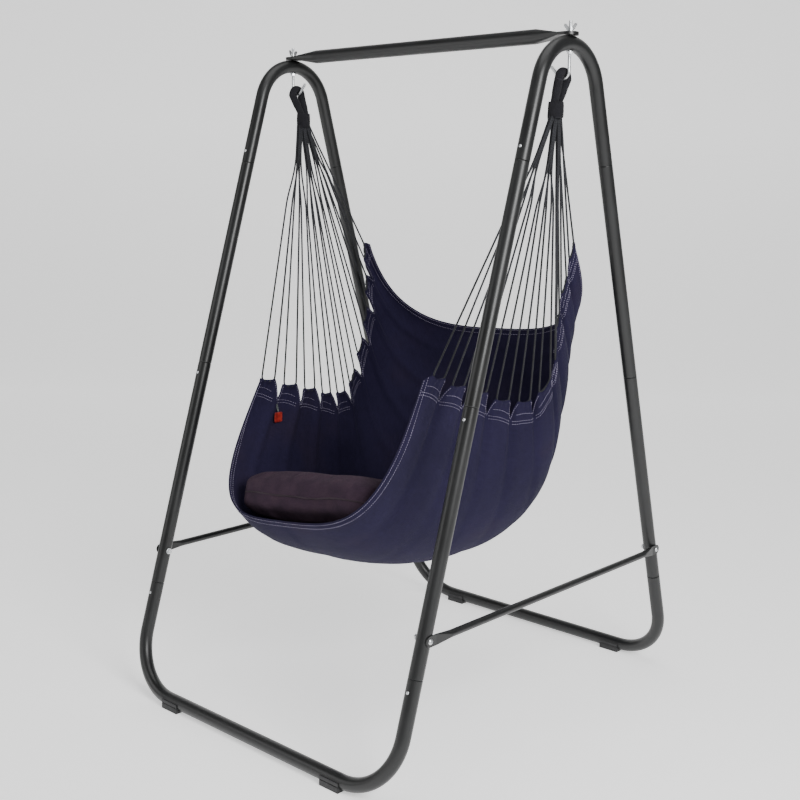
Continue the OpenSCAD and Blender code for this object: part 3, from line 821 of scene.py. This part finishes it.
def whipping(side):
    """Close turns round the neck, with a knot's tail tucked at the front."""
    low = np.array([side * NECK.x, NECK.y, NECK.z - NECK_H / 2])
    high = low + np.array([0, 0, NECK_H])
    path = evenly([low, high], 0.0006)
    share = np.linspace(0, 1, len(path))
    radius = NECK_R * (0.93 + 0.07 * np.sin(math.pi * share) ** 0.5)
    turns = tube(path, radius, 28, (0.0012, 0.0032))
    start = low + np.array([side * -0.010, -NECK_R * 0.86, 0.020])
    tail = [start + np.array([0.0, -0.002 * math.sin(s * 3), -0.026 * s]) for s in np.linspace(0, 1, 12)]
    return joined(side_name(side) + "_neck_whipping", [turns, tube(tail, 0.0014, 8)])


def hook_thread(side):
    """The shank's thread where it shows: above the wing nut and below the flanged nut."""
    shank_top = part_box("right_hook")[1].z
    nut_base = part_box("hook_nuts")[0].z
    wing_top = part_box("right_wing_nut")[1].z
    axis_x = side * (HOOK_X + HOOK_TO_SHANK)
    parts = []
    for low, high in ((nut_base - 0.014, nut_base - 0.001), (wing_top - 0.006, shank_top - 0.001)):
        turns = (high - low) / THREAD_PITCH
        angles = np.linspace(0, 2 * math.pi * turns, int(14 * turns))
        path = np.stack([axis_x + ROD_R * np.cos(angles), ROD_R * np.sin(angles),
                         np.linspace(low, high, len(angles))], 1)
        parts.append(tube(path, 0.00032, 5))
    return joined(side_name(side) + "_hook_thread", parts)


# ---------- cushion ----------

def cushion_matrix():
    tilt = Matrix.Rotation(CUSHION_PITCH, 4, "X") @ Matrix.Rotation(CUSHION_ROLL, 4, "Y")
    return Matrix.Translation(CUSHION_CENTRE) @ tilt


def keep_clear(points, tree, clearance):
    """Moves points that are under the cloth, or too close to it, back into the seat."""
    for k, p in enumerate(points):
        place, normal, _, distance = tree.find_nearest(Vector(p), 0.12)
        if place is None:
            continue
        height = (Vector(p) - place).dot(normal)
        if height < clearance and distance < 0.11:
            points[k] = np.array(p) + np.array(normal) * (clearance - height)
    return points


def cushion_shape(tree):
    """Rounded box whose sides pull in between the corners, pressed to the seat below."""
    mesh = bmesh.new()
    bmesh.ops.create_cube(mesh, size=2)
    bmesh.ops.subdivide_edges(mesh, edges=mesh.edges[:], cuts=26, use_grid_fill=True)
    half = CUSHION / 2 - Vector((0.002, 0.002, 0.007))
    for v in mesh.verts:
        x, y, z = v.co
        scale = (abs(x) ** 7 + abs(y) ** 7 + abs(z) ** 7) ** (-1 / 7)
        x, y, z = x * scale, y * scale, z * scale
        crown = 1 + 0.10 * (1 - x * x) * (1 - y * y)
        corner = max(abs(x), abs(y)) ** 4 * min(abs(x), abs(y)) ** 2
        pull = 1 - 0.03 * (1 - min(abs(x), abs(y)) ** 2)
        v.co = (x * half.x * pull, y * half.y * pull, z * half.z * crown * (1 - 0.12 * corner))
    shape = to_object(mesh, "cushion_cover")
    shape.data.transform(cushion_matrix())
    points = np.array([v.co for v in shape.data.vertices])
    points = keep_clear(points, tree, 0.010)
    shape.data.vertices.foreach_set("co", points.astype(np.float32).ravel())
    shape.data.update()
    return shape


def apply_modifiers(piece):
    """Replaces a piece's mesh by what its modifiers make of it."""
    graph = bpy.context.evaluated_depsgraph_get()
    data = bpy.data.meshes.new_from_object(piece.evaluated_get(graph))
    piece.modifiers.clear()
    piece.data = data


def puff(piece, cap):
    """Blows the cover up by cloth simulation, with a cap on how far any point may move."""
    remesh = piece.modifiers.new("remesh", "REMESH")
    remesh.mode = "VOXEL"
    remesh.voxel_size = 0.0075
    apply_modifiers(piece)
    rest = np.array([v.co for v in piece.data.vertices])
    cloth = piece.modifiers.new("cloth", "CLOTH")
    cloth.settings.quality = 5
    cloth.settings.mass = 0.3
    cloth.settings.tension_stiffness = 12
    cloth.settings.compression_stiffness = 12
    cloth.settings.bending_stiffness = 0.4
    cloth.settings.use_pressure = True
    cloth.settings.uniform_pressure_force = 4
    cloth.settings.effector_weights.gravity = 0
    cloth.point_cache.frame_start = 1
    cloth.point_cache.frame_end = 20
    for number in range(1, 21):
        bpy.context.scene.frame_set(number)
    apply_modifiers(piece)
    bpy.context.scene.frame_set(1)
    moved = np.array([v.co for v in piece.data.vertices]) - rest
    far = np.linalg.norm(moved, axis=1)
    moved *= np.minimum(1, cap / np.maximum(far, 1e-9))[:, None]
    piece.data.vertices.foreach_set("co", (rest + moved).astype(np.float32).ravel())
    piece.data.update()


def crease(piece):
    """Soft wrinkles that run in from the seam and the corners."""
    into = cushion_matrix().inverted()
    half = CUSHION / 2
    points = []
    for v in piece.data.vertices:
        local = into @ v.co
        rim = max(abs(local.x) / half.x, abs(local.y) / half.y)
        turn = math.atan2(local.y / half.y, local.x / half.x)
        seam = math.exp(-(local.z / 0.030) ** 2) * min(1, rim**6)
        pucker = 0.0022 * seam * noise.noise(Vector((turn * 9, local.z * 20, 1.0)))
        broad = 0.0045 * noise.noise(Vector((local.x * 9, local.y * 6, 4.0)))
        ray = 0.0030 * min(1, rim**3) * noise.noise(Vector((turn * 6, rim * 1.5, 9.0)))
        points.append(v.co + v.normal * (pucker + broad + ray))
    return np.array(points)


def make_cushion(tree):
    cushion = cushion_shape(tree)
    puff(cushion, 0.012)
    points = keep_clear(crease(cushion), tree, 0.0045)
    cushion.data.vertices.foreach_set("co", points.astype(np.float32).ravel())
    cushion.data.update()
    finer = cushion.modifiers.new("finer", "SUBSURF")
    finer.levels = 1
    finer.render_levels = 1
    apply_modifiers(cushion)
    cushion.data.shade_smooth()
    return cushion


def piping(cushion):
    """The sewn seam round the middle of the cushion's sides."""
    graph = bpy.context.evaluated_depsgraph_get()
    tree = BVHTree.FromObject(cushion, graph)
    matrix = cushion_matrix()
    turn = matrix.to_3x3()
    path = []
    for angle in np.linspace(0, 2 * math.pi, 241):
        away = Vector((math.cos(angle) * CUSHION.x, math.sin(angle) * CUSHION.y, 0))
        wander = 0.002 * math.sin(angle * 5) + 0.0015 * math.sin(angle * 11 + 1)
        centre = Vector((0, 0, -0.004 + wander))
        start = matrix @ (centre + away)
        hit, _, _, _ = tree.ray_cast(start, -(turn @ away).normalized())
        if hit is not None:
            path.append(np.array(hit))
    path = np.array(path)
    for _ in range(4):
        path[1:-1] = (path[:-2] + 2 * path[1:-1] + path[2:]) / 4
    return joined("cushion_piping", [tube(evenly(path, 0.004), 0.0024, 8)])


# ---------- tag ----------

def make_tag():
    """Square card with rounded corners and a slight curl."""
    low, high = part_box("tag")
    centre, size = (low + high) / 2, high - low
    mesh = bmesh.new()
    bmesh.ops.create_cube(mesh, size=1)
    bmesh.ops.subdivide_edges(mesh, edges=mesh.edges[:], cuts=14, use_grid_fill=True)
    for v in mesh.verts:
        x, y, z = v.co * 2
        scale = (abs(y) ** 8 + abs(z) ** 8 + 1e-9) ** (-1 / 8) * max(abs(y), abs(z), 1e-6)
        y, z = y * min(1, scale), z * min(1, scale)
        curl = 0.0012 * (y * y - 0.4) + 0.0006 * z
        v.co = (centre.x + x * 0.0006 + curl, centre.y + y * size.y / 2, centre.z + z * size.z / 2)
    return to_object(mesh, "hang_tag")


def tag_string():
    """Thin twisted string from the cloth down to the tag's top edge, with a small knot."""
    low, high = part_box("tag_cord")
    y = (low.y + high.y) / 2
    top, foot = np.array([low.x + 0.001, y, high.z - 0.001]), np.array([high.x - 0.0009, y, low.z])
    parts = []
    for side in (-1, 1):
        sway = [top + (foot - top) * s + np.array([0, side * 0.0022 * math.sin(math.pi * s), 0])
                for s in np.linspace(0, 1, 20)]
        parts.append(tube(sway, 0.0006, 7))
    knot = [foot + np.array([0.0008 * math.cos(a), 0.0014 * math.sin(a), 0.004 + 0.0004 * a])
            for a in np.linspace(0, 4 * math.pi, 40)]
    parts.append(tube(knot, 0.0006, 7))
    return joined("tag_string", parts)


# ---------- build ----------

make_studio(make_camera())

coat, plate, plastic = powder_coat(), zinc(), pad_plastic()
by_slot = {
    "frame_powder_coat": coat, "zinc_plated_steel": plate, "spring_steel": plate, "black_plastic": plastic,
}
for part in frame["record"]["subparts"]:
    material = by_slot.get(part["material_slot"])
    if material is not None:
        node = nodes[part["node"]]
        node.data.materials.clear()
        node.data.materials.append(material)

# Each cord's first colour is painted shade for the grooves between its strands, and its second is the lighter
# crest colour.
cord_look = twisted_cord("black_cord", (0.006, 0.006, 0.008), (0.030, 0.031, 0.036), 150)
served_look = twisted_cord("serving_cord", (0.005, 0.005, 0.007), (0.016, 0.0155, 0.020), 900)
string_look = twisted_cord("tag_string", (0.10, 0.13, 0.11), (0.28, 0.32, 0.28), 400)
thread = thread_look("pale_thread", (0.42, 0.38, 0.52))
seam_thread = thread_look("seam_cord", (0.034, 0.021, 0.030))

cloth = Cloth()
for side in (-1, 1):
    name = side_name(side)
    dress(cords(cloth, side), cord_look, "chair", "dark_cord", name + "_cords")
    dress(eye(side), served_look, "chair", "dark_cord", name + "_eye")
    dress(whipping(side), served_look, "chair", "dark_cord", name + "_whipping")
    dress(hook_thread(side), plate, "stand", "zinc_plated_steel")

sling = dress(cloth.build(), sling_cotton(), "chair", "navy_cotton", "sling")
stitches = dress(sling_stitches(cloth), thread, "chair", "navy_cotton")

seat = cloth.tree()
cushion = make_cushion(seat)
dress(cushion, cushion_weave(), "cushion", "aubergine_fabric", "cushion")
dress(piping(cushion), seam_thread, "cushion", "aubergine_fabric")

dress(make_tag(), tag_card_look(), "chair", "tag_card", "tag")
dress(tag_string(), string_look, "chair", "tag_cord", "tag_cord")
